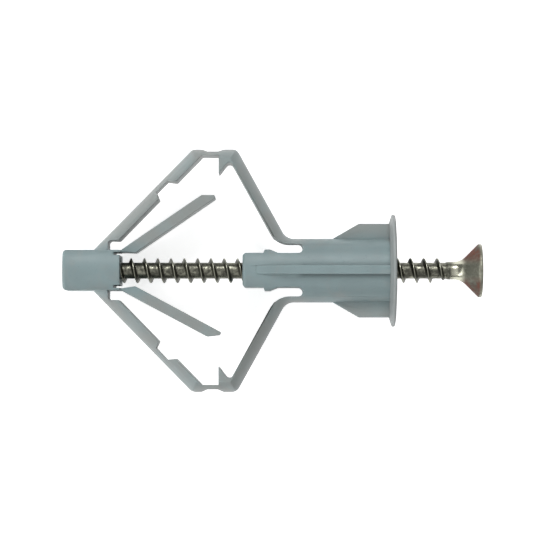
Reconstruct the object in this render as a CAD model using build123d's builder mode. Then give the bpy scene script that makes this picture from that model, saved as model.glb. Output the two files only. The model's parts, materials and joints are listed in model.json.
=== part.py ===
from build123d import *
import os
from math import atan2, ceil, cos, degrees, radians, sin, sqrt, tan

os.makedirs("parts", exist_ok=True)

# A nylon cavity anchor with folding arms, and the countersunk screw that works it.
#
# Both pieces are drawn in the anchor's own frame, in millimetres. X runs along the screw towards
# its head, X = 0 is the flange's wall face, and the arms fold out along +Y and -Y. The pair is then
# laid down on the flange's rim and the nose, as it comes to rest, with the arms level.

# ---- round bar that fills the wall hole: the sleeve, the tongue and the nose are cut from it
bar_radius = 4.8
sleeve_length = 13.05
tongue_length = 9.0
tongue_half_height = 2.55
tongue_corner = 0.35
catch_height = 0.5
catch_tip_setback = 3.3
catch_flat = 0.8
catch_ramp = 1.2
catch_back_ramp = 0.2
nose_length = 8.55
nose_half_height = 3.02
nose_corner = 0.35

# ---- flange, with its rim bevelled on the wall side
flange_radius = 8.45
flange_thickness = 0.82
rim_bevel_width = 1.1
rim_bevel_depth = 0.36
rim_corner = 0.15

# ---- blades along the sleeve: two long ribs and, in the plane of the arms, two short fins
blade_thickness = 1.3
blade_sink = 0.6
rib_radius = 5.6
rib_length = 15.4
rib_ramp = 4.6
fin_radius = 7.05
fin_length = 4.6
fin_ramp = 3.9

# ---- arms, from the sleeve out to the knee and back to the nose
arm_half_width = 3.5
root_strip_thickness = 0.88
root_strip_length = 2.45
front_angle = 61.1
front_thickness = 1.72
foot_outer_round = 1.9
foot_inner_round = 3.4
knee_reach = 18.26
knee_flat = 6.7
knee_front_round = 1.36
knee_rear_round = 1.9
knee_web_thickness = 0.63
knee_web_length = 1.6
knee_web_setback = 2.8
knee_dip = 0.43
knee_shoulder = 0.9
tooth_setback = 2.7
tooth_depth = 3.9
tooth_slant = 52.6
tooth_valley_round = 0.6
rear_angle = 45.6
rear_thickness = 1.85
elbow_web_thickness = 0.78
elbow_from_root = 12.9
elbow_length = 2.35
elbow_lower_slant = 0.45
elbow_upper_slant = 0.9
rear_heel_clearance = 1.44
rear_neck_length = 1.8
rear_root_sink = 0.6
rear_slot_round = 0.5
nose_lead = 4.35

# ---- struts, the free braces that the screw spreads; each has set at its own lean
strut_length = 16.2
strut_thickness = 1.57
strut_half_width = 2.6
strut_tip_flat = 1.95
strut_tip_rake = 0.1
strut_tip_round = 0.25
strut_foot_length = 1.6
strut_foot_drop = 0.37
strut_foot_gap = 0.1
strut_moulded_lean = 34.4
strut_lean_upper = 34.4
strut_lean_lower = 28.2
strut_web_thickness = 0.34
strut_web_length = 1.6
strut_slot_height = 0.43
strut_slot_depth = 0.9

# ---- screw: 4 mm coarse thread, 60 mm long, 90 degree countersunk head
screw_length = 60.0
thread_radius = 2.0
thread_pitch = 2.0
thread_flank = 22.0
thread_root_sink = 0.12
thread_top_gap = 5.9
thread_runout = 0.9
crest_margin = 0.3
core_radius = 1.17
point_length = 4.5
point_bare = 1.0
point_bare_radius = 0.3
neck_radius = 1.35
neck_step = 0.4
neck_flare = 2.6
head_radius = 4.0
head_land = 0.55
head_half_angle = 45.0
recess_radius = 2.35
recess_bottom_radius = 0.9
recess_depth = 2.3
recess_tip_height = 0.46
recess_wing = 0.95
recess_web = 0.55
head_standoff = 13.03
screw_turn = 216.0

# ---- clearances between the screw and the anchor
sleeve_bore_gap = 0.15
nose_bore_gap = 0.06
sink_gap = 0.12

# ---- how far a cutting form runs past the solid it cuts
past = 1.0

# ---- places that follow from the sizes
slot_end_x = -sleeve_length
tongue_tip_x = slot_end_x - tongue_length
foot_x = slot_end_x - root_strip_length
knee_front_x = foot_x - (knee_reach - bar_radius) / tan(radians(front_angle))
knee_rear_x = knee_front_x - knee_flat
rear_root_x = knee_rear_x - (knee_reach - nose_half_height) / tan(radians(rear_angle))
nose_tip_x = rear_root_x - nose_lead
nose_back_x = nose_tip_x + nose_length
knee_middle_x = knee_front_x - knee_web_setback - knee_web_length / 2
knee_web_inner = knee_reach - knee_dip - knee_web_thickness
strip_inner = bar_radius - root_strip_thickness
root_slot_height = strip_inner - tongue_half_height
rear_slot_end_x = nose_back_x - rear_neck_length
sleeve_bore = thread_radius + sleeve_bore_gap
nose_bore = thread_radius + nose_bore_gap
head_face_x = flange_thickness + head_standoff
point_x = head_face_x - screw_length


def on_rear(along, depth):
    """A point of the rear arm: along its outer line from the nose, and in from that line."""
    a = radians(rear_angle)
    return (
        rear_root_x + along * cos(a) + depth * sin(a),
        nose_half_height + along * sin(a) - depth * cos(a),
    )


def on_front(along, depth):
    """A point of the front arm: along its outer line from the foot, and in from that line."""
    a = radians(front_angle)
    return (
        foot_x - along * cos(a) - depth * sin(a),
        bar_radius + along * sin(a) - depth * cos(a),
    )


def arm_section(origin, direction, depth):
    """Section across an arm: the bar's own round on the outer side, flat sides below it."""
    drop = bar_radius - sqrt(bar_radius**2 - arm_half_width**2)
    width_way = (0, 0, -1) if direction[0] > 0 else (0, 0, 1)
    with BuildSketch(Plane(origin=origin, x_dir=width_way, z_dir=direction)) as section:
        with BuildLine():
            Polyline(
                (-arm_half_width, -drop),
                (-arm_half_width, -depth),
                (arm_half_width, -depth),
                (arm_half_width, -drop),
            )
            ThreePointArc((arm_half_width, -drop), (0, 0), (-arm_half_width, -drop))
        make_face()
    return section.sketch


# ---- front arm: root strip, foot, link, and the knee's toothed half
# the inner corner of the foot is where the strip's and the link's inner lines meet
foot_inner = on_front(
    (front_thickness * cos(radians(front_angle)) - root_strip_thickness) / sin(radians(front_angle)),
    front_thickness,
)
tooth_tip = (knee_front_x - tooth_setback, knee_reach - tooth_depth)
# the valley is where the tooth's slanted side meets the link's inner line
valley_run = (
    (foot_inner[0] - tooth_tip[0]) * tan(radians(front_angle)) + foot_inner[1] - tooth_tip[1]
) / (tan(radians(tooth_slant)) + tan(radians(front_angle)))
valley = (tooth_tip[0] + valley_run, tooth_tip[1] + valley_run * tan(radians(tooth_slant)))
strip_start_x = slot_end_x + root_strip_thickness

with BuildPart() as front_arm:
    with BuildSketch() as front_plan:
        with BuildLine():
            Polyline(
                (knee_middle_x, knee_reach - knee_dip),
                (knee_middle_x + knee_web_length / 2, knee_reach - knee_dip),
                (knee_middle_x + knee_web_length / 2 + knee_shoulder, knee_reach),
                (knee_front_x, knee_reach),
                (foot_x, bar_radius),
                (strip_start_x, bar_radius),
                (strip_start_x, strip_inner),
                foot_inner,
                valley,
                tooth_tip,
                (tooth_tip[0], knee_web_inner),
                (knee_middle_x, knee_web_inner),
                close=True,
            )
        make_face()
        for corner, rounding in (
            ((knee_front_x, knee_reach), knee_front_round),
            ((foot_x, bar_radius), foot_outer_round),
            (foot_inner, foot_inner_round),
            (valley, tooth_valley_round),
        ):
            fillet(front_plan.vertices().sort_by_distance(corner)[0], rounding)
    extrude(amount=arm_half_width, both=True)
    # the outer side carries the bar's round along the strip, round the foot and up the link
    with BuildLine() as front_line:
        FilletPolyline(
            (strip_start_x + past, bar_radius, 0),
            (foot_x, bar_radius, 0),
            (*on_front(1.5 * knee_reach, 0), 0),
            radius=foot_outer_round,
        )
    with BuildSketch(Plane(origin=front_line.line @ 0, x_dir=(0, 0, 1), z_dir=(-1, 0, 0))):
        with Locations((0, -bar_radius)):
            Rectangle(
                2 * arm_half_width, bar_radius + past, align=(Align.CENTER, Align.MIN)
            )
            Circle(bar_radius, mode=Mode.SUBTRACT)
    sweep(path=front_line.wire(), mode=Mode.SUBTRACT)
    knee_section = arm_section((knee_middle_x, knee_reach, 0), (1, 0, 0), 2 * knee_reach)
    extrude(knee_section, amount=2 * knee_reach, both=True, mode=Mode.INTERSECT)

# ---- rear arm: the knee's other half, the upper link, the elbow web and the lower link
heel_y = nose_half_height + rear_heel_clearance


def rear_inner_at(y):
    """The point of the rear arm's inner line at a height y."""
    a = radians(rear_angle)
    return on_rear((y - nose_half_height + rear_thickness * cos(a)) / sin(a), rear_thickness)


with BuildPart() as rear_arm:
    with BuildSketch() as rear_plan:
        with BuildLine():
            Polyline(
                on_rear(-rear_root_sink, 0),
                (knee_rear_x, knee_reach),
                (knee_middle_x - knee_web_length / 2 - knee_shoulder, knee_reach),
                (knee_middle_x - knee_web_length / 2, knee_reach - knee_dip),
                (knee_middle_x, knee_reach - knee_dip),
                (knee_middle_x, knee_web_inner),
                rear_inner_at(knee_web_inner),
                on_rear(elbow_from_root + elbow_length + elbow_upper_slant, rear_thickness),
                on_rear(elbow_from_root + elbow_length, elbow_web_thickness),
                on_rear(elbow_from_root, elbow_web_thickness),
                on_rear(elbow_from_root - elbow_lower_slant, rear_thickness),
                rear_inner_at(heel_y),
                (rear_slot_end_x, heel_y),
                (rear_slot_end_x, nose_half_height - rear_root_sink),
                close=True,
            )
        make_face()
        for corner, rounding in (
            ((knee_rear_x, knee_reach), knee_rear_round),
            ((rear_slot_end_x, heel_y), rear_slot_round),
        ):
            fillet(rear_plan.vertices().sort_by_distance(corner)[0], rounding)
    extrude(amount=bar_radius, both=True)
    rear_way = (cos(radians(rear_angle)), sin(radians(rear_angle)), 0)
    rear_section = arm_section((*on_rear(0, 0), 0), rear_way, knee_reach)
    extrude(rear_section, amount=2 * knee_reach, both=True, mode=Mode.INTERSECT)
    extrude(knee_section, amount=2 * knee_reach, both=True, mode=Mode.INTERSECT)


def strut(lean):
    """A free brace hinged on the nose's inner end, its foot and tip cut level with the bar."""
    a = radians(strut_moulded_lean)
    tip = (strut_length, -strut_tip_flat * sin(a))
    hinge = (nose_back_x + strut_foot_gap, nose_half_height, 0)
    lean_way = (cos(radians(lean)), sin(radians(lean)), 0)
    with BuildPart() as brace:
        with BuildSketch(Plane(origin=hinge, x_dir=lean_way, z_dir=(0, 0, 1))) as outline:
            with BuildLine():
                Polyline(
                    (0, 0),
                    (tip[0] - strut_tip_flat * cos(a), 0),
                    tip,
                    (tip[0] - strut_tip_rake, -strut_thickness),
                    (strut_foot_length, -strut_thickness),
                    (0, -strut_foot_drop),
                    close=True,
                )
            make_face()
            fillet(outline.vertices().sort_by(Axis(hinge, lean_way))[-2:], strut_tip_round)
        extrude(amount=strut_half_width, both=True)
        # the web that joins it to the nose, over the slot
        with BuildSketch():
            with Locations((nose_back_x - strut_slot_depth, nose_half_height)):
                Rectangle(
                    strut_web_length, strut_web_thickness, align=(Align.MIN, Align.MAX)
                )
        extrude(amount=strut_half_width, both=True)
    return brace.part


# ---- nose: a slab of the bar, bored for the screw and slotted above and below the bore
with BuildPart() as nose:
    with BuildSketch(Plane.YZ.offset(nose_tip_x)):
        Circle(bar_radius)
        Rectangle(2 * nose_half_height, 2 * bar_radius, mode=Mode.INTERSECT)
    extrude(amount=nose_length)
    chamfer(nose.faces().sort_by(Axis.X)[0].edges(), nose_corner)
    slot_y = nose_half_height - strut_web_thickness - strut_slot_height / 2
    with BuildSketch():
        with Locations((nose_back_x, slot_y), (nose_back_x, -slot_y)):
            Rectangle(2 * strut_slot_depth, strut_slot_height)
    extrude(amount=bar_radius, both=True, mode=Mode.SUBTRACT)

# ---- tongue: a thinner slab of the bar with a catch on each flat
with BuildPart() as tongue:
    catch_x = tongue_tip_x + catch_tip_setback
    catch_y = tongue_half_height + catch_height
    with BuildSketch() as tongue_plan:
        with BuildLine():
            Polyline(
                (slot_end_x + past, tongue_half_height),
                (catch_x + catch_flat + catch_ramp, tongue_half_height),
                (catch_x + catch_flat, catch_y),
                (catch_x, catch_y),
                (catch_x - catch_back_ramp, tongue_half_height),
                (tongue_tip_x, tongue_half_height),
                (tongue_tip_x, 0),
                (slot_end_x + past, 0),
                close=True,
            )
        make_face()
        mirror(about=Plane.XZ)
    extrude(amount=bar_radius, both=True)
    with BuildSketch(Plane.YZ.offset(tongue_tip_x)):
        Circle(bar_radius)
    extrude(amount=2 * tongue_length, mode=Mode.INTERSECT)
    chamfer(tongue.faces().sort_by(Axis.X)[0].edges(), tongue_corner)

# ---- the anchor, one nylon moulding
with BuildPart() as moulding:
    with BuildSketch():
        with BuildLine():
            Polyline(
                (slot_end_x - root_slot_height, 0),
                (slot_end_x - root_slot_height, bar_radius),
                (0, bar_radius),
                (0, flange_radius - rim_bevel_width),
                (rim_bevel_depth, flange_radius),
                (flange_thickness - rim_corner, flange_radius),
                (flange_thickness, flange_radius - rim_corner),
                (flange_thickness, 0),
                close=True,
            )
        make_face()
    revolve(axis=Axis.X)
    # the slots beside the tongue, with round closed ends in the sleeve
    with BuildSketch():
        with Locations(
            (slot_end_x - root_slot_height, tongue_half_height + root_slot_height / 2),
            (slot_end_x - root_slot_height, -tongue_half_height - root_slot_height / 2),
        ):
            SlotOverall(2 * root_slot_height, root_slot_height)
    extrude(amount=bar_radius, both=True, mode=Mode.SUBTRACT)
    # blades: each is drawn with its own X towards the nose and its Y out from the bar
    for facing, top, length, ramp in (
        ((0, 0, -1), fin_radius, fin_length, fin_ramp),
        ((0, 0, 1), fin_radius, fin_length, fin_ramp),
        ((0, 1, 0), rib_radius, rib_length, rib_ramp),
        ((0, -1, 0), rib_radius, rib_length, rib_ramp),
    ):
        with BuildSketch(Plane(origin=(0, 0, 0), x_dir=(-1, 0, 0), z_dir=facing)):
            with BuildLine():
                Polyline(
                    (-flange_thickness / 2, bar_radius - blade_sink),
                    (-flange_thickness / 2, top),
                    (length, top),
                    (length + ramp, bar_radius),
                    (length + ramp, bar_radius - blade_sink),
                    close=True,
                )
            make_face()
        extrude(amount=blade_thickness / 2, both=True)
    add(tongue.part)
    add(nose.part)
    add(front_arm.part)
    add(rear_arm.part)
    mirror(front_arm.part, about=Plane.XZ)
    mirror(rear_arm.part, about=Plane.XZ)
    add(strut(strut_lean_upper))
    mirror(strut(strut_lean_lower), about=Plane.XZ)
    # bores: the countersunk sleeve and tongue, then the nose
    with BuildSketch():
        mouth = head_radius + head_land + sink_gap
        with BuildLine():
            Polyline(
                (flange_thickness, 0),
                (flange_thickness, mouth),
                (flange_thickness - (mouth - sleeve_bore), sleeve_bore),
                (tongue_tip_x - past, sleeve_bore),
                (tongue_tip_x - past, 0),
                close=True,
            )
        make_face()
    revolve(axis=Axis.X, mode=Mode.SUBTRACT)
    with BuildSketch(Plane.YZ.offset(nose_tip_x - past)):
        Circle(nose_bore)
    extrude(amount=nose_length + 2 * past, mode=Mode.SUBTRACT)


# ---- screw, drawn standing on its point's end: Z runs from the point to the head
head_cone_base = screw_length - head_land
flare_turn = neck_flare * (1 - cos(radians(head_half_angle)))
flare_top = head_cone_base - (head_radius - neck_radius - flare_turn) / tan(
    radians(head_half_angle)
)
flare_base = flare_top - neck_flare * sin(radians(head_half_angle))
thread_top = screw_length - thread_top_gap
point_half_angle = atan2(core_radius, point_length)
thread_depth = thread_radius - core_radius


def thread_section(plane):
    """Section of the thread: two slanted flanks that meet at the crest, rooted inside the core."""
    half_root = (thread_depth + thread_root_sink) * tan(radians(thread_flank))
    with BuildSketch(plane) as section:
        with BuildLine():
            Polyline(
                (-thread_root_sink, -half_root),
                (thread_depth, 0),
                (-thread_root_sink, half_root),
                close=True,
            )
        make_face()
    return section.sketch


with BuildPart() as one_turn:
    with BuildLine():
        turn = Helix(thread_pitch, thread_pitch, core_radius, (0, 0, point_length))
    add(thread_section(Plane(origin=turn @ 0, x_dir=(1, 0, 0), z_dir=turn % 0)))
    sweep(path=turn, is_frenet=True)

with BuildPart() as thread:
    # the same turn repeated up the core
    turn_count = ceil((thread_top - point_length) / thread_pitch)
    with Locations([(0, 0, n * thread_pitch) for n in range(turn_count)]):
        add(one_turn.part)
    # its crest runs out below the neck
    with BuildSketch(Plane.XZ):
        with BuildLine():
            Polyline(
                (thread_radius + crest_margin, thread_top - thread_runout),
                (core_radius - crest_margin, thread_top),
                (0, thread_top),
                (0, thread_top + 2 * thread_pitch),
                (2 * thread_radius, thread_top + 2 * thread_pitch),
                close=True,
            )
        make_face()
    revolve(axis=Axis.Z, mode=Mode.SUBTRACT)

with BuildPart() as point_thread:
    # one more turn climbs the point, its crest growing from the point's bare end
    with BuildLine():
        climb = Helix(
            thread_pitch / cos(point_half_angle),
            thread_pitch,
            core_radius * (1 - thread_pitch / point_length),
            (0, 0, point_length - thread_pitch),
            cone_angle=degrees(point_half_angle),
        )
    add(thread_section(Plane(origin=climb @ 0, x_dir=(1, 0, 0), z_dir=climb % 0)))
    sweep(path=climb, is_frenet=True)
    with BuildSketch(Plane.XZ):
        with BuildLine():
            Polyline(
                (point_bare_radius, point_bare),
                (thread_radius + crest_margin, point_length + crest_margin),
                (2 * thread_radius, point_bare),
                close=True,
            )
        make_face()
    revolve(axis=Axis.Z, mode=Mode.SUBTRACT)

with BuildPart() as recess:
    # a cross of four wings inside a cone
    with BuildSketch(Plane.XY.offset(screw_length)):
        Rectangle(2 * recess_radius, recess_wing)
        Rectangle(recess_wing, 2 * recess_radius)
        Rectangle(recess_web, recess_web, rotation=45)
    extrude(amount=recess_depth, both=True)
    with BuildSketch(Plane.XZ):
        with BuildLine():
            Polyline(
                (0, screw_length + past),
                (recess_radius, screw_length + past),
                (recess_radius, screw_length),
                (recess_bottom_radius, screw_length - recess_depth + recess_tip_height),
                (0, screw_length - recess_depth),
                close=True,
            )
        make_face()
    revolve(axis=Axis.Z, mode=Mode.INTERSECT)

with BuildPart() as screw:
    # point, core, neck, the flare under the head and the countersunk head
    with BuildSketch(Plane.XZ):
        with BuildLine():
            Polyline(
                (neck_radius, flare_base),
                (neck_radius, thread_top + neck_step),
                (core_radius, thread_top),
                (core_radius, point_length),
                (0, 0),
                (0, screw_length),
                (head_radius, screw_length),
                (head_radius, head_cone_base),
                (neck_radius + flare_turn, flare_top),
            )
            RadiusArc(
                (neck_radius, flare_base), (neck_radius + flare_turn, flare_top), neck_flare
            )
        make_face()
    revolve(axis=Axis.Z)
    add(thread.part)
    add(point_thread.part)
    add(recess.part, mode=Mode.SUBTRACT)

# ---- the pair laid down: flange rim and nose on the ground, arms level, origin at the bottom
# centre of their box
rest_lean = atan2(flange_radius - bar_radius, rim_bevel_depth - nose_tip_x - nose_corner)
head_way = (cos(rest_lean), 0, sin(rest_lean))
up_way = (-sin(rest_lean), 0, cos(rest_lean))
tail_end = nose_tip_x * head_way[0] + (bar_radius - nose_corner) * up_way[0]
head_end = head_face_x * head_way[0] - head_radius * up_way[0]
lying = Plane(
    origin=(
        -(tail_end + head_end) / 2,
        0,
        flange_radius * up_way[2] - rim_bevel_depth * head_way[2],
    ),
    x_dir=head_way,
    z_dir=up_way,
)
screw_seat = Plane(
    origin=lying.from_local_coords((point_x, 0, 0)),
    x_dir=lying.from_local_coords((0, cos(radians(screw_turn)), sin(radians(screw_turn))))
    - lying.origin,
    z_dir=head_way,
)

with BuildPart(lying) as nylon_anchor:
    add(moulding.part)
nylon_anchor.part.label = "nylon_anchor"
export_step(nylon_anchor.part, "parts/nylon_anchor.step")

with BuildPart(screw_seat) as countersunk_screw:
    add(screw.part)
countersunk_screw.part.label = "countersunk_screw"
export_step(countersunk_screw.part, "parts/countersunk_screw.step")
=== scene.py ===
"""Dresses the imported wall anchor: nylon moulding, countersunk screw and a white table top."""
import json
from math import atan2, cos, pi, radians, sin, tan

import bmesh
import bpy
import numpy as np
from bpy.props import FloatProperty, FloatVectorProperty, PointerProperty
from mathutils import Matrix, Vector


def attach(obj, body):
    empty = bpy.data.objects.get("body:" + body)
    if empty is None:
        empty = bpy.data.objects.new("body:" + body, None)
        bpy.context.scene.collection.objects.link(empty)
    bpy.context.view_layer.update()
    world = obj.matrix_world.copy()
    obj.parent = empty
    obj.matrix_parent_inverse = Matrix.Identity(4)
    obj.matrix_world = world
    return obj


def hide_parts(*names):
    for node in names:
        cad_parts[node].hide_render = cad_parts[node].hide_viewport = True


bl_info = {
    "name": "Wall Anchor",
    "version": (1, 0, 0),
    "blender": (4, 5, 0),
    "location": "3D View > Sidebar > Wall Anchor",
    "description": "Dresses a nylon wall anchor and its screw",
    "category": "Object",
}

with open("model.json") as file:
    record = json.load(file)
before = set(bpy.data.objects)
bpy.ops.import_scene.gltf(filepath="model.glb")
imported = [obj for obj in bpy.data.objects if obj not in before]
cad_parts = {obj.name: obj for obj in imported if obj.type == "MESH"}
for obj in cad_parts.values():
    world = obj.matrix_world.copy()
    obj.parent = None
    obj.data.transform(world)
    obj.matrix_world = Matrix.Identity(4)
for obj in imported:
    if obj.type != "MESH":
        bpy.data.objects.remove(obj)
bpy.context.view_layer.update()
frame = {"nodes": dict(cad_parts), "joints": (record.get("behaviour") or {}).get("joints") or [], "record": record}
MM = 0.001
TURN = 2 * pi

# ---- the anchor's own axes: along the screw towards its head, across the arms, and up from them
head_way = -Vector(frame["joints"][0]["axis"]).normalized()
up_way = Vector((-head_way.z, 0, head_way.x))
mounts = {m["name"]: m for m in frame["record"]["mounts"]}
head_centre = Vector(mounts["driver_recess"]["pos_m"])


def lying(points):
    """Rows of (along, across, above), measured from the head's flat, as points of the frame.

    A point is the head's middle plus along, across and above times their directions.
    """
    axes = np.array([head_way, (0, 1, 0), up_way])
    return np.asarray(points) @ axes + np.array(head_centre)


# ---- the lamps: name, place, width and height in metres, and watts. One is wide and lies beyond
# ---- the point, one stands on the side of each arm, and one hangs overhead
LAMPS = (
    ("left_lamp", (-0.74, -0.30, 0.46), 1.5, 0.34, 4.5),
    ("high_lamp", (-0.06, 0.62, 0.65), 0.34, 0.34, 3.6),
    ("low_lamp", (-0.10, -0.62, 0.64), 0.80, 0.80, 1.5),
    ("overhead_lamp", (0.0, 0.0, 0.95), 0.90, 0.90, 1.7),
)
LAMP_TARGET = Vector((0, 0, 0.006))
WORLD_LIGHT = 0.15
TABLE_HALF = 1.2
TABLE_GLOW = 0.72
SENSOR = 36.0

# ---- the screw's point: how it narrows, its blunt tip, and what the thread leaves bare
POINT_POWER = 0.86
TIP = 0.02 * MM
BARE_TIP = 0.9 * MM


# ---- sizes and colours that a user would change


def length(name, text, millimetres):
    """A length property, given in millimetres."""
    return FloatProperty(
        name=name, description=text, default=millimetres * MM, min=0, unit="LENGTH", precision=5
    )


def angle(name, text, degrees):
    """An angle property, given in degrees."""
    return FloatProperty(name=name, description=text, default=radians(degrees), subtype="ANGLE")


def colour(name, text, *rgb):
    """A colour property."""
    return FloatVectorProperty(
        name=name, description=text, default=rgb, size=3, min=0, max=1, subtype="COLOR"
    )


def share(name, text, value):
    """A share from nought to one."""
    return FloatProperty(name=name, description=text, default=value, min=0, max=1, subtype="FACTOR")


class MouldingSettings(bpy.types.PropertyGroup):
    """The nylon moulding's edges and finish."""

    edge_round: length("Edge round", "Width of the round on every outer edge", 0.11)
    # the painted shade along the ribs' feet follows this thickness
    rib_thickness: length("Rib thickness", "Thickness of the long ribs, which dust follows", 1.3)
    body: colour("Nylon", "Colour of the thick nylon", 0.230, 0.312, 0.324)
    pale: colour("Thin nylon", "Colour where the nylon is thin, in the arms", 0.292, 0.315, 0.306)
    rim: colour("Flange nylon", "Colour of the thin flange", 0.335, 0.362, 0.36)
    gloss: share("Roughness", "Roughness of the moulded skin", 0.46)


class ScrewSettings(bpy.types.PropertyGroup):
    """The screw's sizes, on its axis, and its finish."""

    total: length("Length", "From the head's flat to the point", 60.0)
    head_radius: length("Head radius", "Radius of the head", 4.0)
    head_land: length("Head land", "Height of the head's straight rim", 0.5)
    neck_radius: length("Neck radius", "Radius of the neck under the head", 1.35)
    flare: length("Flare", "Radius of the flare from the neck into the head", 2.6)
    core_radius: length("Core radius", "Radius of the core between the threads", 1.21)
    thread_radius: length("Thread radius", "Radius to the thread's crest", 1.88)
    pitch: length("Pitch", "Distance between two turns of the thread", 2.0)
    thread_top: length("Thread top", "From the head's flat to the end of the thread", 5.5)
    turn: angle("Turn", "How far the screw is turned in, from the upper arm", 216)
    point: length("Point", "Length of the tapered point", 4.5)
    recess_radius: length("Recess radius", "From the middle to a wing's end", 2.35)
    recess_wing: length("Wing width", "Width of a wing of the cross recess", 0.95)
    recess_depth: length("Recess depth", "Depth of the cross recess", 2.3)
    steel: colour("Steel", "Colour of the plated steel", 0.25, 0.25, 0.20)
    # this colour serves the stains and the painted shade on the thread's flanks and the cone's sides
    stain_and_shade: colour("Stain", "Colour of the stains in the thread", 0.035, 0.035, 0.026)
    # this colour serves the rubbed head and crest and the painted highlight on the flare
    bright: colour("Bright steel", "Colour of the rubbed head", 0.42, 0.42, 0.34)
    rust: colour("Rust", "Colour of the reddish stains on the head", 0.165, 0.058, 0.036)


class StageSettings(bpy.types.PropertyGroup):
    """The camera and the table."""

    distance: FloatProperty(
        name="Camera distance", description="From the middle of the view", default=0.395,
        unit="LENGTH",
    )
    aim: length("Aim", "From the head's flat to the middle of the view", 31.8)
    aside: length("Aside", "From the screw to the middle of the view", 0.1)
    field: length("Field", "Width that the camera sees at the anchor", 81.24)
    tilt: angle("Tilt", "How far the camera is tilted round the screw's axis", 1.8)
    table: colour("Table", "Colour of the table top", 0.9, 0.9, 0.9)


# ---- shader maths


class Value:
    """One output socket of a shader, with arithmetic that adds Math nodes."""

    def __init__(self, shader, socket):
        self.shader, self.socket = shader, socket

    def _maths(self, operation, *values):
        return self.shader.node(
            "ShaderNodeMath", {"operation": operation}, dict(enumerate(values))
        )

    def __add__(self, other):
        return self._maths("ADD", self, other)

    def __sub__(self, other):
        return self._maths("SUBTRACT", self, other)

    def __rsub__(self, other):
        return self._maths("SUBTRACT", other, self)

    def __mul__(self, other):
        return self._maths("MULTIPLY", self, other)

    __radd__ = __add__
    __rmul__ = __mul__

    def __pow__(self, other):
        return self._maths("POWER", self, other)

    def __abs__(self):
        return self._maths("ABSOLUTE", self)

    def clip(self):
        """Kept between nought and one."""
        return self.shader.node("ShaderNodeClamp", {}, {"Value": self, "Min": 0.0, "Max": 1.0})

    def ramp(self, low, high):
        """Nought before low, one beyond high, and smooth between them."""
        return self.shader.node(
            "ShaderNodeMapRange",
            {"interpolation_type": "SMOOTHSTEP"},
            {"Value": self, "From Min": low, "From Max": high, "To Min": 0.0, "To Max": 1.0},
        )


class Shader:
    """A material's node tree. Each node comes from node()."""

    def __init__(self, name):
        self.material = bpy.data.materials.new(name)
        self.material.use_nodes = True
        self.tree = self.material.node_tree
        self.tree.nodes.clear()

    def node(self, kind, settings, inputs, output=0):
        """Adds a node: its type, its settings, then the values or links of its sockets."""
        made = self.tree.nodes.new(kind)
        for name, value in settings.items():
            setattr(made, name, value)
        for name, value in inputs.items():
            socket = made.inputs[name]
            if isinstance(value, Value):
                self.tree.links.new(value.socket, socket)
            else:
                socket.default_value = value
        return Value(self, made.outputs[output]) if made.outputs else None

    def place(self):
        """The point on the piece, in the frame."""
        return self.node("ShaderNodeTexCoord", {}, {}, "Object")

    def turned(self, vector):
        """That point measured along the screw, across the arms and up from them."""
        return self.node(
            "ShaderNodeMapping",
            {"vector_type": "TEXTURE"},
            {
                "Vector": vector,
                "Location": tuple(head_centre),
                "Rotation": (0.0, -atan2(head_way.z, head_way.x), 0.0),
            },
        )

    def parts(self, vector):
        """The three numbers of a vector."""
        first = self.node("ShaderNodeSeparateXYZ", {}, {0: vector})
        return [Value(self, out) for out in first.socket.node.outputs]

    def noise(self, vector, scale, detail=3.0, roughness=0.5, distortion=0.0):
        """Cloudy noise from nought to one."""
        return self.node(
            "ShaderNodeTexNoise",
            {},
            {
                "Vector": vector, "Scale": scale, "Detail": detail,
                "Roughness": roughness, "Distortion": distortion,
            },
            "Fac",
        )

    def blend(self, factor, first, second):
        """Two colours mixed by a factor."""
        ends = {
            socket: end if isinstance(end, Value) else (*end, 1.0)
            for socket, end in ((6, first), (7, second))
        }
        return self.node("ShaderNodeMix", {"data_type": "RGBA"}, {0: factor, **ends}, 2)

    def bump(self, height, distance):
        """A normal from a height, at half strength."""
        return self.node(
            "ShaderNodeBump", {}, {"Height": height, "Distance": distance, "Strength": 0.5}
        )

    def finish(self, inputs):
        """Ends the tree with a Principled surface and returns the material."""
        surface = self.node("ShaderNodeBsdfPrincipled", {}, inputs)
        self.node("ShaderNodeOutputMaterial", {}, {"Surface": surface})
        return self.material


def toned(rgb, times):
    """A colour made lighter or darker."""
    return tuple(times * c for c in rgb)


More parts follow.
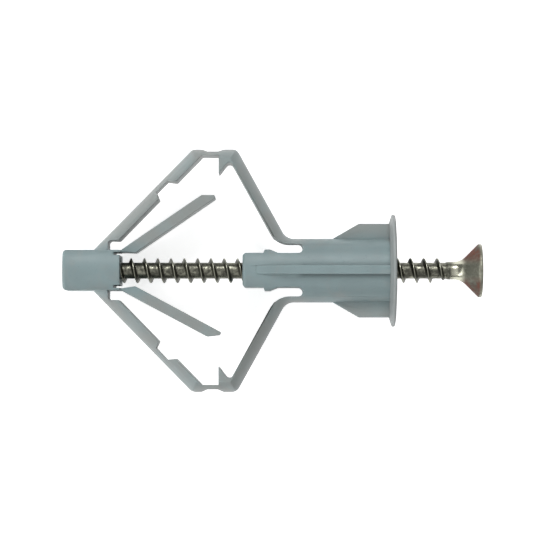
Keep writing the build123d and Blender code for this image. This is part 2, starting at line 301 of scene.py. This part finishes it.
def nylon(settings):
    """Moulded blue-grey nylon: flow clouds, a fine spark-eroded skin, specks and painted shade along the ribs'
    feet.
    """
    s = Shader("blue_grey_nylon")
    place = s.place()
    along, across, _ = s.parts(s.turned(place))
    out = abs(across)
    flow = s.noise(place, 210.0, detail=2.0, distortion=0.4)
    warm = s.noise(place, 330.0, distortion=0.6)
    cloud = s.noise(place, 900.0)
    speck = s.noise(place, 3000.0, detail=1.0)
    skin = s.noise(place, 5200.0, detail=2.0)
    grain = s.noise(place, 15000.0, detail=1.0)
    # thin out from the tongue and the nose, and further out where the sleeve is
    sleeve_start, sleeve_full = -28.0 * MM, -25.0 * MM
    thick = along.ramp(sleeve_start, sleeve_full) * 1.6 * MM
    thin = (out - thick).ramp(2.3 * MM, 5.2 * MM)
    tint = s.blend(thin * 0.9 + 0.1, settings.body, settings.pale)
    tint = s.blend(warm.ramp(0.48, 0.74) * 0.5, tint, settings.pale)
    tint = s.blend(flow.ramp(0.35, 0.7) * 0.35, tint, toned(settings.body, 1.22))
    flange = -13.85 * MM
    tint = s.blend(along.ramp(flange - 0.1 * MM, flange), tint, settings.rim)
    tint = s.blend(speck.ramp(0.64, 0.74) * 0.16, tint, toned(settings.body, 0.6))
    # painted shade lies along the foot of each long rib, a painted shadow strongest on the lower
    # arm's side, and it fades out where the rib runs down to the tongue
    rib_side = settings.rib_thickness / 2
    rib_start, rib_full = -28.4 * MM, -26.6 * MM
    corner = out.ramp(rib_side * 0.97, rib_side * 1.02)
    corner = corner * (1.0 - out.ramp(rib_side * 1.1, rib_side * 2.1))
    corner = corner * along.ramp(rib_start, rib_full)
    corner = corner * (1.0 - along.ramp(flange - 0.15 * MM, flange - 0.05 * MM))
    rib_shadow_side = across.ramp(0.1 * MM, -0.1 * MM)
    # the ribs' feet are darkened here: painted shade, strongest on the lower side
    tint = s.blend(corner * (rib_shadow_side * 0.42 + 0.24), tint, toned(settings.body, 0.35))
    return s.finish({
        "Base Color": tint,
        "Roughness": (cloud * 0.16 + grain * 0.08 + (settings.gloss - 0.12)).clip(),
        "Normal": s.bump(skin * 0.7 + grain * 0.3, 0.012 * MM),
        "Metallic": 0.0,
        "IOR": 1.5,
        "Subsurface Weight": 0.3,
        "Subsurface Radius": (0.8, 1.0, 1.0),
        "Subsurface Scale": 0.8 * MM,
    })


def steel(settings):
    """Dull plated steel: dark stains, painted shade on the thread's flanks and the cone's sides, a painted
    highlight on the flare and a reddish bloom on the head.
    """
    s = Shader("stained_plated_steel")
    place = s.place()
    along, across, above = s.parts(s.turned(place))
    patch = s.noise(place, 330.0, detail=2.0, distortion=0.5)
    streak = s.noise(place, 900.0, detail=4.0, roughness=0.6, distortion=0.8)
    spots = s.noise(place, 2600.0, roughness=0.6)
    fine = s.noise(place, 9000.0, detail=2.0)
    # the thread, the flare from the neck into the head, and the cone, by the distance from the flat
    on_thread = 1.0 - along.ramp(-5.3 * MM, -5.0 * MM)
    on_head = along.ramp(-4.9 * MM, -3.7 * MM)
    flare = on_head * (1.0 - along.ramp(-3.3 * MM, -2.3 * MM))
    below_flat = along.ramp(-0.2 * MM, -0.7 * MM)
    sides = abs(across).ramp(0.7 * MM, 2.4 * MM)
    cone = sides * along.ramp(-3.5 * MM, -2.5 * MM) * below_flat
    dirt = (streak * 0.65 + spots * 0.35).ramp(0.36, 0.60)
    dirt = dirt * (1.0 - on_head * 0.35 - flare * 0.45)
    tint = s.blend(dirt * 0.85, settings.steel, settings.stain_and_shade)
    # the thread's flanks are painted dark, a painted shade, and its crest is rubbed to light steel
    off_axis = (across * across + above * above) ** 0.5
    low, high = settings.core_radius, settings.thread_radius
    above_core = off_axis.ramp(low + 0.02 * MM, low + 0.08 * MM)
    flank_shade = above_core * (1.0 - off_axis.ramp(high - 0.14 * MM, high - 0.06 * MM))
    crest = off_axis.ramp(high - 0.08 * MM, high)
    # painted shade on the thread's flanks
    tint = s.blend(flank_shade * on_thread * 0.55, tint, settings.stain_and_shade)
    tint = s.blend(crest * on_thread * 0.7, tint, settings.bright)
    # the head is lighter where it is clean, and the flare carries a painted highlight
    clean = 1.0 - dirt * 0.7
    tint = s.blend((on_head * 0.48 + flare * 0.5) * clean, tint, settings.bright)
    # a painted highlight across the flare
    tint = s.blend(flare * 0.5, tint, toned(settings.bright, 1.6))
    # the cone's two sides across the arms are painted dark, a painted shade, with a reddish bloom over it
    bloom = (patch * 0.55 + streak * 0.45).ramp(0.34, 0.54)
    # painted shade on the cone's sides
    tint = s.blend(cone * 0.65, tint, settings.stain_and_shade)
    tint = s.blend(cone * bloom * 0.9, tint, settings.rust)
    dull = dirt * 0.20 + fine * 0.10 + 0.20 + on_head * 0.12 - flare * 0.17 + cone * 0.3
    return s.finish({
        "Base Color": tint,
        "Metallic": (1.0 - dirt * 0.35 - cone * 0.75).clip(),
        "Roughness": dull.clip(),
        "Normal": s.bump(spots * 0.6 + fine * 0.4, 0.02 * MM),
    })


def table_white(settings):
    """Plain white that the camera and mirrors see a little brighter than the lamps make it."""
    s = Shader("white_table")
    camera, glossy, through = (
        s.node("ShaderNodeLightPath", {}, {}, ray)
        for ray in ("Is Camera Ray", "Is Glossy Ray", "Is Transmission Ray")
    )
    seen = camera + glossy + through
    plain = s.node("ShaderNodeBsdfDiffuse", {}, {"Color": (*settings.table, 1.0)})
    glow = s.node(
        "ShaderNodeEmission", {}, {"Color": (1, 1, 1, 1), "Strength": seen * TABLE_GLOW}
    )
    both = s.node("ShaderNodeAddShader", {}, {0: plain, 1: glow})
    s.node("ShaderNodeOutputMaterial", {}, {"Surface": both})
    return s.material


# ---- meshes


def new_piece(name, points, faces, material, body, node):
    """Makes an object from points and faces in the frame and lets it stand for a CAD node."""
    mesh = bpy.data.meshes.new(name)
    mesh.from_pydata(np.asarray(points).tolist(), [], faces)
    mesh.validate()
    mesh.materials.append(material)
    piece = bpy.data.objects.new(name, mesh)
    bpy.context.scene.collection.objects.link(piece)
    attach(piece, body)
    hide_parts(node)
    return piece


def shade(mesh, sharpest):
    """Smooth shading, with an edge kept sharp where its two faces meet at more than an angle."""
    mesh.polygons.foreach_set("use_smooth", np.ones(len(mesh.polygons), bool))
    bm = bmesh.new()
    bm.from_mesh(mesh)
    for edge in bm.edges:
        edge.smooth = len(edge.link_faces) == 2 and edge.calc_face_angle(0) < sharpest
    bm.to_mesh(mesh)
    bm.free()


def grid_faces(rows, columns):
    """Quads of a grid of rows by columns, whose last column joins its first."""
    row, column = np.meshgrid(np.arange(rows - 1), np.arange(columns), indexing="ij")
    here = row * columns + column
    beside = row * columns + (column + 1) % columns
    quads = np.stack([here, beside, beside + columns, here + columns], -1)
    return quads.reshape(-1, 4).tolist()


def fan_faces(start, count, tip, inward):
    """Triangles from a ring of points, which begins at start, to one point at its middle."""
    here = start + np.arange(count)
    beside = start + (np.arange(count) + 1) % count
    middle = np.full(count, tip)
    corners = [here, beside, middle] if inward else [beside, here, middle]
    return np.stack(corners, -1).tolist()


def joined(*shapes):
    """Points and faces of several shapes as one."""
    points, faces, start = [], [], 0
    for some_points, some_faces in shapes:
        points.append(some_points)
        faces += [[corner + start for corner in face] for face in some_faces]
        start += len(some_points)
    return np.vstack(points), faces


def cross_outline(angles, wing_end, half_width):
    """Distance from the middle to a cross's outline at each angle: the farther of its two bars.

    A bar of half length L and half width W reaches the smaller of L / |cos| and W / |sin|.
    """
    a, b = np.maximum(np.abs([np.cos(angles), np.sin(angles)]), 1e-9)
    lying_bar = np.minimum(wing_end / a, half_width / b)
    standing_bar = np.minimum(half_width / a, wing_end / b)
    return np.maximum(lying_bar, standing_bar)


def turned_rings(radius, depth):
    """Rings of a turned profile, as rows of a radius and a depth below the head's flat."""
    return np.stack(np.broadcast_arrays(radius, depth), -1)


def screw_body(z):
    """The turned body with its cross recess: rings of points round the axis.

    Each ring is a radius for every angle and a depth below the head's flat. Outside, the radius is
    the same all round: the point, which narrows as a power of the distance from its tip, the core,
    the neck, an arc of the flare's radius, a cone of 45 degrees and the rim. The flat's rings pass
    evenly from the rim's circle to the cross's outline, and the recess's walls narrow to its end.
    """
    # angles crowd towards the corners of the cross
    corner = atan2(z.recess_wing / 2, z.recess_radius)
    diagonal = pi / 4
    quarter = np.hstack([
        np.linspace(-corner, corner, 7),
        np.linspace(corner, diagonal, 9)[1:],
        np.linspace(diagonal, pi / 2 - corner, 9)[1:-1],
    ])
    angles = (np.arange(4)[:, None] * pi / 2 + quarter).ravel()

    cone_angle = radians(45)
    cone_start = z.neck_radius + z.flare * (1 - cos(cone_angle))
    flare_top = z.head_land + (z.head_radius - cone_start) / tan(cone_angle)
    flare_base = flare_top + z.flare * sin(cone_angle)
    rim = 0.12 * MM
    cone_end, cone_end_depth = z.head_radius - rim * 0.5, z.head_land + rim * 0.5
    thread_step = 0.4 * MM
    on_point = np.linspace(0.04, 1, 24)
    on_flare = np.linspace(0, cone_angle, 13)[1:]
    on_cone = np.linspace(0, 1, 10)[1:]
    outside = np.vstack([
        turned_rings(TIP, [z.total - TIP]),
        turned_rings(z.core_radius * on_point**POINT_POWER, z.total - z.point * on_point),
        turned_rings(z.core_radius, np.linspace(z.total - z.point, z.thread_top, 140)[1:]),
        turned_rings(z.neck_radius, np.linspace(z.thread_top - thread_step, flare_base, 12)),
        turned_rings(
            z.neck_radius + z.flare * (1 - np.cos(on_flare)),
            flare_base - z.flare * np.sin(on_flare),
        ),
        turned_rings(
            cone_start + (cone_end - cone_start) * on_cone,
            flare_top + (cone_end_depth - flare_top) * on_cone,
        ),
        turned_rings(z.head_radius, [z.head_land - rim * 0.4, (z.head_land + rim) / 2, rim]),
        turned_rings(z.head_radius - rim * 0.3, [rim * 0.3]),
        turned_rings(z.head_radius - rim, [0.0]),
    ])

    # the flat, in to the recess, then down its walls to a blunt cone
    half_wing = z.recess_wing / 2
    end_radius, end_narrowing = 0.95 * MM, 0.18
    wall_end, cone_depth = z.recess_depth * 0.8, z.recess_depth * 0.93
    outline = cross_outline(angles, z.recess_radius, half_wing)
    lip = 0.06 * MM
    inward = np.linspace(0.25, 1, 4)[:, None]
    down = np.linspace(0, 1, 9)[1:, None]
    walls = cross_outline(
        angles,
        z.recess_radius + (end_radius - z.recess_radius) * down,
        half_wing * (1 - end_narrowing * down),
    )
    radius = np.vstack([
        np.repeat(outside[:, :1], len(angles), 1),
        (z.head_radius - rim) * (1 - inward) + (outline + lip) * inward,
        outline + lip * 0.3,
        outline,
        walls,
        walls[-1] * 0.5,
    ])
    depth = np.hstack([
        outside[:, 1], np.zeros(len(inward)), lip * 0.3, lip,
        lip + (wall_end - lip) * down[:, 0], cone_depth,
    ])[:, None]
    points = np.stack(
        [-depth + 0 * radius, radius * np.cos(angles), radius * np.sin(angles)], -1
    ).reshape(-1, 3)

    # the tip of the point and the bottom of the recess close the two ends
    rows, columns = radius.shape
    tip = len(points)
    points = np.vstack([points, (-z.total, 0, 0), (-z.recess_depth, 0, 0)])
    faces = grid_faces(rows, columns)
    faces += fan_faces(0, columns, tip, inward=False)
    faces += fan_faces((rows - 1) * columns, columns, tip + 1, inward=True)
    return points, faces


def screw_thread(z):
    """The coarse thread: one ridge wound round the core.

    At turn t its middle lies t pitches below the thread's top, and its section is a narrow crest
    with two straight flanks that curve out into the core at their feet. The crest grows out of the
    neck over a third of a turn and dies into the point over the last two.
    """
    steps_a_turn = 64
    turns = (z.total - z.thread_top - BARE_TIP) / z.pitch
    t = np.arange(int(turns * steps_a_turn) + 1) / steps_a_turn
    # half of the section, from a foot to the crest: offset along the axis in millimetres, and
    # share of the full height
    half = np.array([
        (-0.52, -0.16), (-0.40, 0.0), (-0.33, 0.05), (-0.27, 0.18),
        (-0.19, 0.5), (-0.12, 0.78), (-0.075, 0.95), (-0.042, 1.0),
    ])
    offset, share_up = np.vstack([half, half[::-1] * (-1, 1)]).T
    down = z.thread_top + t * z.pitch
    left = z.total - down
    core = z.core_radius * np.clip(left / z.point, 0, 1)**POINT_POWER
    grow = np.clip(t / 0.3, 0, 1)
    grow = grow * grow * (3 - 2 * grow)
    fade = np.clip((left - BARE_TIP) / (z.point - BARE_TIP), 0, 1)
    height = (z.thread_radius - z.core_radius) * grow * (0.12 + 0.88 * fade**0.8)
    width = 0.55 + 0.45 * np.clip(fade * 1.4, 0, 1)
    around = (z.total - z.point - down) / z.pitch * TURN
    along = -down[:, None] + offset * MM * width[:, None]
    radius = np.maximum(core[:, None] + share_up * height[:, None], TIP)
    points = np.stack(
        [along, radius * np.cos(around)[:, None], radius * np.sin(around)[:, None]], -1
    )
    rows, columns = along.shape
    faces = grid_faces(rows, columns)
    faces.append(list(range(columns))[::-1])
    faces.append(list(range((rows - 1) * columns, rows * columns)))
    return points.reshape(-1, 3), faces


# ---- the stage


def add_table(settings):
    """A flat white table top."""
    h = TABLE_HALF
    mesh = bpy.data.meshes.new("table_top")
    mesh.from_pydata([(-h, -h, 0), (h, -h, 0), (h, h, 0), (-h, h, 0)], [], [(0, 1, 2, 3)])
    mesh.materials.append(table_white(settings))
    table = bpy.data.objects.new("table_top", mesh)
    bpy.context.scene.collection.objects.link(table)


def add_lamps():
    """The lamps, each turned towards the anchor, and a faint even light from all round."""
    for name, place, wide, high, watts in LAMPS:
        data = bpy.data.lights.new(name, "AREA")
        data.shape = "RECTANGLE"
        data.size, data.size_y = wide, high
        data.energy = watts
        lamp = bpy.data.objects.new(name, data)
        lamp.location = place
        lamp.rotation_mode = "QUATERNION"
        lamp.rotation_quaternion = (LAMP_TARGET - Vector(place)).to_track_quat("-Z", "Y")
        bpy.context.scene.collection.objects.link(lamp)
    world = bpy.data.worlds.new("studio")
    world.use_nodes = True
    background = world.node_tree.nodes["Background"]
    background.inputs["Color"].default_value = (1, 1, 1, 1)
    background.inputs["Strength"].default_value = WORLD_LIGHT
    bpy.context.scene.world = world


def add_camera(settings):
    """The camera, square to the arms and tilted a little round the screw's axis."""
    data = bpy.data.cameras.new("camera")
    data.sensor_width = SENSOR
    data.lens = SENSOR * settings.distance / settings.field
    camera = bpy.data.objects.new("camera", data)
    aim = head_centre - head_way * settings.aim + Vector((0, settings.aside, 0))
    back = up_way * cos(settings.tilt) - Vector((0, sin(settings.tilt), 0))
    turned = Matrix((head_way, back.cross(head_way), back)).transposed().to_4x4()
    camera.matrix_world = Matrix.Translation(aim + back * settings.distance) @ turned
    bpy.context.scene.collection.objects.link(camera)
    bpy.context.scene.camera = camera


# ---- operators


class ANCHOR_OT_moulding(bpy.types.Operator):
    """Rounds the moulding's edges and gives it its nylon"""

    bl_idname = "wall_anchor.moulding"
    bl_label = "Nylon moulding"

    def execute(self, context):
        settings = context.scene.anchor_moulding
        sharpest = radians(28)
        bm = bmesh.new()
        bm.from_mesh(frame["nodes"]["nylon_anchor"].data)
        bmesh.ops.remove_doubles(bm, verts=bm.verts, dist=0.0005 * MM)
        bmesh.ops.dissolve_limit(bm, angle_limit=radians(0.4), verts=bm.verts, edges=bm.edges)
        # only the outer edges are rounded
        weight = bm.edges.layers.float.new("bevel_weight_edge")
        for edge in bm.edges:
            edge[weight] = float(edge.is_convex and edge.calc_face_angle(0) > sharpest)
        mesh = bpy.data.meshes.new("moulding")
        bm.to_mesh(mesh)
        bm.free()
        mesh.materials.clear()
        mesh.materials.append(nylon(settings))
        shade(mesh, sharpest)
        piece = bpy.data.objects.new("moulding", mesh)
        context.scene.collection.objects.link(piece)
        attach(piece, "anchor")
        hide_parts("nylon_anchor")
        rounding = piece.modifiers.new("edge_round", "BEVEL")
        rounding.width = settings.edge_round
        rounding.segments = 2
        rounding.limit_method = "WEIGHT"
        rounding.use_clamp_overlap = False
        rounding.harden_normals = True
        return {"FINISHED"}


class ANCHOR_OT_screw(bpy.types.Operator):
    """Turns the screw's body, cuts its cross recess and winds its thread"""

    bl_idname = "wall_anchor.screw"
    bl_label = "Countersunk screw"

    def execute(self, context):
        settings = context.scene.anchor_screw
        points, faces = joined(screw_body(settings), screw_thread(settings))
        points = points @ np.array(Matrix.Rotation(-settings.turn, 3, "X"))
        piece = new_piece(
            "screw", lying(points), faces, steel(settings), "screw", "countersunk_screw"
        )
        shade(piece.data, radians(38))
        return {"FINISHED"}


class ANCHOR_OT_stage(bpy.types.Operator):
    """Sets the table top, the lamps, the world and the camera"""

    bl_idname = "wall_anchor.stage"
    bl_label = "Table, lamps and camera"

    def execute(self, context):
        settings = context.scene.anchor_stage
        context.scene.view_settings.view_transform = "Standard"
        add_table(settings)
        add_lamps()
        add_camera(settings)
        return {"FINISHED"}


class ANCHOR_PT_panel(bpy.types.Panel):
    """Buttons for each piece"""

    bl_label = "Wall Anchor"
    bl_idname = "ANCHOR_PT_panel"
    bl_space_type = "VIEW_3D"
    bl_region_type = "UI"
    bl_category = "Wall Anchor"

    def draw(self, context):
        for operator, settings in (
            (ANCHOR_OT_moulding, context.scene.anchor_moulding),
            (ANCHOR_OT_screw, context.scene.anchor_screw),
            (ANCHOR_OT_stage, context.scene.anchor_stage),
        ):
            column = self.layout.box().column()
            column.operator(operator.bl_idname)
            for name in settings.__annotations__:
                column.prop(settings, name)


CLASSES = (
    MouldingSettings, ScrewSettings, StageSettings,
    ANCHOR_OT_moulding, ANCHOR_OT_screw, ANCHOR_OT_stage, ANCHOR_PT_panel,
)


def register():
    for cls in CLASSES:
        bpy.utils.register_class(cls)
    bpy.types.Scene.anchor_moulding = PointerProperty(type=MouldingSettings)
    bpy.types.Scene.anchor_screw = PointerProperty(type=ScrewSettings)
    bpy.types.Scene.anchor_stage = PointerProperty(type=StageSettings)


def unregister():
    del bpy.types.Scene.anchor_stage, bpy.types.Scene.anchor_screw, bpy.types.Scene.anchor_moulding
    for cls in reversed(CLASSES):
        bpy.utils.unregister_class(cls)


def main():
    """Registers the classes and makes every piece."""
    register()
    bpy.ops.wall_anchor.moulding()
    bpy.ops.wall_anchor.screw()
    bpy.ops.wall_anchor.stage()


if __name__ == "__main__":
    main()
